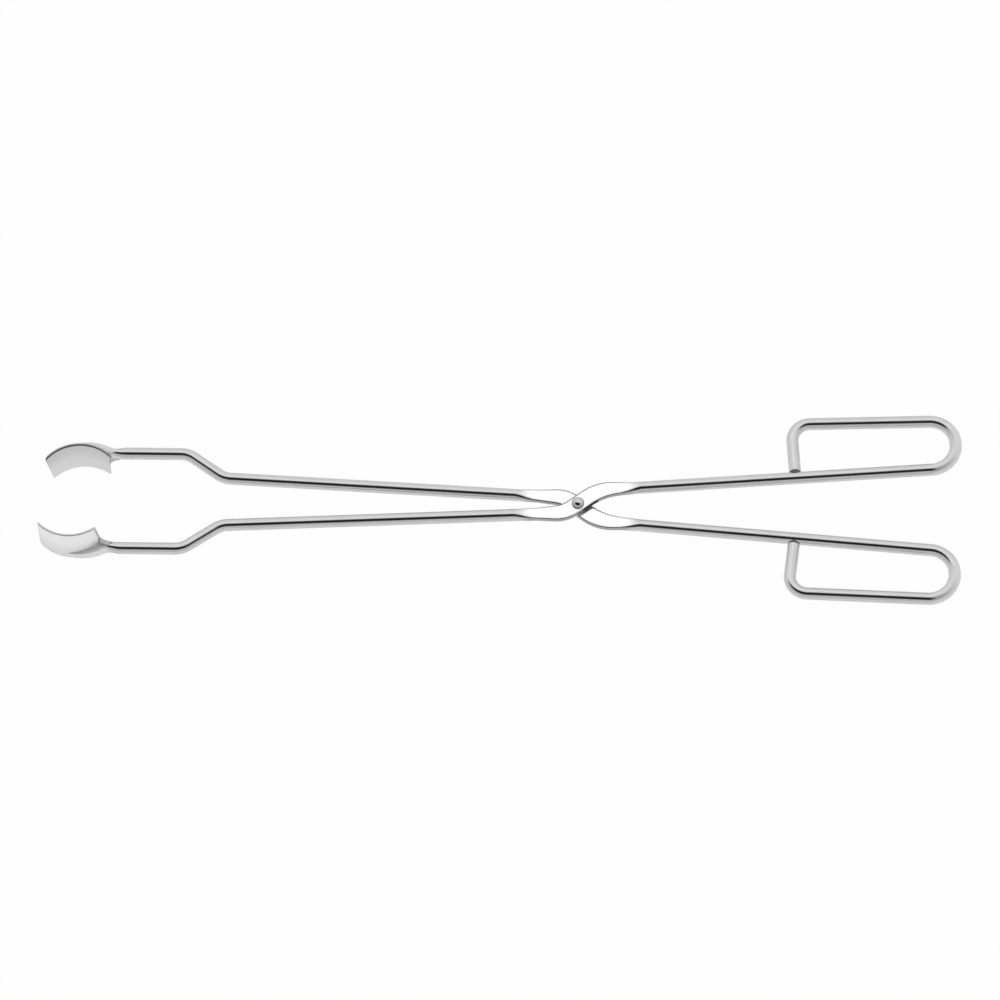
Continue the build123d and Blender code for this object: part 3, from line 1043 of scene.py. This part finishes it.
class TONGS_OT_stage(bpy.types.Operator):
    """Set up the pale floor, the soft light and the camera"""

    bl_idname = "tongs.stage"
    bl_label = "Set Stage"

    def execute(self, context):
        stage = context.scene.tongs_stage
        context.scene.view_settings.view_transform = "Standard"
        self.place_camera(context, stage)
        self.lay_floor(context, stage)
        self.hang_light(context)
        self.surround(context)
        return {"FINISHED"}

    def place_camera(self, context, stage):
        """Camera high over the near side."""
        level = math.cos(stage.elevation)
        ahead = Vector((
            math.sin(stage.azimuth) * level,
            math.cos(stage.azimuth) * level,
            -math.sin(stage.elevation),
        ))
        right = Vector((math.cos(stage.azimuth), -math.sin(stage.azimuth), 0))
        up = right.cross(ahead)
        rolled_right = math.cos(stage.roll) * right + math.sin(stage.roll) * up
        rolled_up = math.cos(stage.roll) * up - math.sin(stage.roll) * right
        data = bpy.data.cameras.new("camera")
        data.sensor_width = SENSOR_WIDTH
        data.lens = stage.lens
        data.clip_end = CAMERA_REACH
        camera = bpy.data.objects.new("camera", data)
        target = Vector((RIVET_X + stage.target_x, stage.target_y, 0))
        placed = Matrix((rolled_right, rolled_up, -ahead)).transposed().to_4x4()
        placed.translation = target - ahead * stage.distance
        camera.matrix_world = placed
        context.scene.collection.objects.link(camera)
        context.scene.camera = camera

    def lay_floor(self, context, stage):
        """Floor that the hanging jaw and the back loop rest on."""
        jaw_low, jaw_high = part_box("back_jaw")
        _, arm_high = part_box("back_arm")
        rod_half = context.scene.tongs_arm.rod / 2
        rest = Vector(((jaw_low[0] + jaw_high[0]) / 2, 0, jaw_low[2]))
        rod_bottom = -context.scene.tongs_arm.level - rod_half
        far_rest = Vector((arm_high[0] - rod_half, 0, rod_bottom))
        run = (far_rest - rest).normalized()
        verts = []
        half = FLOOR_HALF
        for along, across in ((-half, -half), (half, -half), (half, half), (-half, half)):
            verts.append(rest + run * along + Vector((0, across, -FLOOR_GAP)))
        mesh = bpy.data.meshes.new("floor")
        mesh.from_pydata(verts, [], [(0, 1, 2, 3)])
        mesh.materials.append(self.floor_material(stage))
        floor = bpy.data.objects.new("floor", mesh)
        context.scene.collection.objects.link(floor)

    def floor_material(self, stage):
        """Pale paper, brought to white where the camera or a reflection sees it."""
        nodes = Finish("floor_paper")
        nodes.feed("Base Color", stage.floor)
        nodes.feed("Roughness", FLOOR_ROUGHNESS)
        nodes.feed("Specular IOR Level", FLOOR_GLOSS)
        rays = nodes.add("ShaderNodeLightPath").outputs
        direct = nodes.maths("MAXIMUM", rays["Is Camera Ray"], rays["Is Transmission Ray"])
        reflected = nodes.maths("MULTIPLY", rays["Is Glossy Ray"], FLOOR_REFLECTED)
        seen = nodes.maths("MAXIMUM", direct, reflected)
        white = nodes.add("ShaderNodeEmission", Color=WHITE)
        mix = nodes.add("ShaderNodeMixShader")
        nodes.give(mix.inputs[0], nodes.maths("MULTIPLY", seen, FLOOR_WHITE))
        nodes.give(mix.inputs[1], nodes.shader.outputs[0])
        nodes.give(mix.inputs[2], white.outputs[0])
        nodes.give(nodes.tree.nodes["Material Output"].inputs["Surface"], mix.outputs[0])
        return nodes.material

    def hang_light(self, context):
        """One large soft box above and behind the tongs."""
        data = bpy.data.lights.new("soft_box", "AREA")
        data.shape = "RECTANGLE"
        data.size, data.size_y = LAMP_SIDES
        data.energy = LAMP_POWER
        lamp = bpy.data.objects.new("soft_box", data)
        toward = Vector(LAMP_WAY).normalized()
        lamp.matrix_world = toward.to_track_quat("Z", "Y").to_matrix().to_4x4()
        lamp.location = Vector((RIVET_X, 0, 0)) + toward * LAMP_DISTANCE
        context.scene.collection.objects.link(lamp)

    def surround(self, context):
        """White tent with a dark opening above the near side."""
        world = bpy.data.worlds.new("tent")
        world.use_nodes = True
        context.scene.world = world
        nodes = Nodes(world.node_tree)
        way = nodes.add("ShaderNodeTexCoord").outputs["Generated"]
        x, y, z = nodes.add("ShaderNodeSeparateXYZ", Vector=way).outputs
        low = nodes.ramp(z, TENT_LOW_BAND, TENT_LOW, 1.0, smooth=True)
        deep = nodes.ramp(y, TENT_DEPTH_BAND, TENT_NEAR, TENT_FAR, smooth=True)
        slanted = nodes.maths("MULTIPLY_ADD", x, OPENING_LEAN, y)
        opening = nodes.maths(
            "MULTIPLY",
            nodes.ramp(z, OPENING_HEIGHT_BAND, 0.0, 1.0, smooth=True),
            nodes.ramp(slanted, OPENING_DEPTH_BAND, 1.0, 0.0, smooth=True),
        )
        tent = nodes.between(opening, nodes.maths("MULTIPLY", low, deep), OPENING)
        camera_ray = nodes.add("ShaderNodeLightPath").outputs["Is Camera Ray"]
        background = nodes.tree.nodes["Background"]
        nodes.give(background.inputs["Strength"], nodes.between(camera_ray, tent, 1.0))
        nodes.give(background.inputs["Color"], WHITE)


class TONGS_PT_panel(bpy.types.Panel):
    """Sizes, finishes and steps of the tongs"""

    bl_label = "Crucible Tongs"
    bl_idname = "TONGS_PT_panel"
    bl_space_type = "VIEW_3D"
    bl_region_type = "UI"
    bl_category = "Tongs"

    def draw(self, context):
        for operator, group in STEPS:
            box = self.layout.box()
            box.operator(operator)
            sizes = getattr(context.scene, group)
            for name in sizes.__annotations__:
                box.prop(sizes, name)


STEPS = (
    ("tongs.arms", "tongs_arm"),
    ("tongs.jaws", "tongs_jaw"),
    ("tongs.rivet", "tongs_rivet"),
    ("tongs.joins", "tongs_finish"),
    ("tongs.stage", "tongs_stage"),
)
GROUPS = {
    "tongs_arm": TongsArmSizes,
    "tongs_jaw": TongsJawSizes,
    "tongs_rivet": TongsRivetSizes,
    "tongs_finish": TongsFinishes,
    "tongs_stage": TongsStageSizes,
}
OTHERS = (
    TONGS_OT_arms,
    TONGS_OT_jaws,
    TONGS_OT_joins,
    TONGS_OT_rivet,
    TONGS_OT_stage,
    TONGS_PT_panel,
)


def register():
    """Add the size groups, operators and panel."""
    for name, group in GROUPS.items():
        bpy.utils.register_class(group)
        setattr(bpy.types.Scene, name, PointerProperty(type=group))
    for item in OTHERS:
        bpy.utils.register_class(item)


def unregister():
    """Take them away again."""
    for item in reversed(OTHERS):
        bpy.utils.unregister_class(item)
    for name, group in GROUPS.items():
        delattr(bpy.types.Scene, name)
        bpy.utils.unregister_class(group)


def main():
    """Build the tongs."""
    register()
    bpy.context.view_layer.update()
    bpy.ops.tongs.arms()
    bpy.ops.tongs.jaws()
    bpy.ops.tongs.rivet()
    bpy.ops.tongs.joins()
    bpy.ops.tongs.stage()


if __name__ == "__main__":
    main()
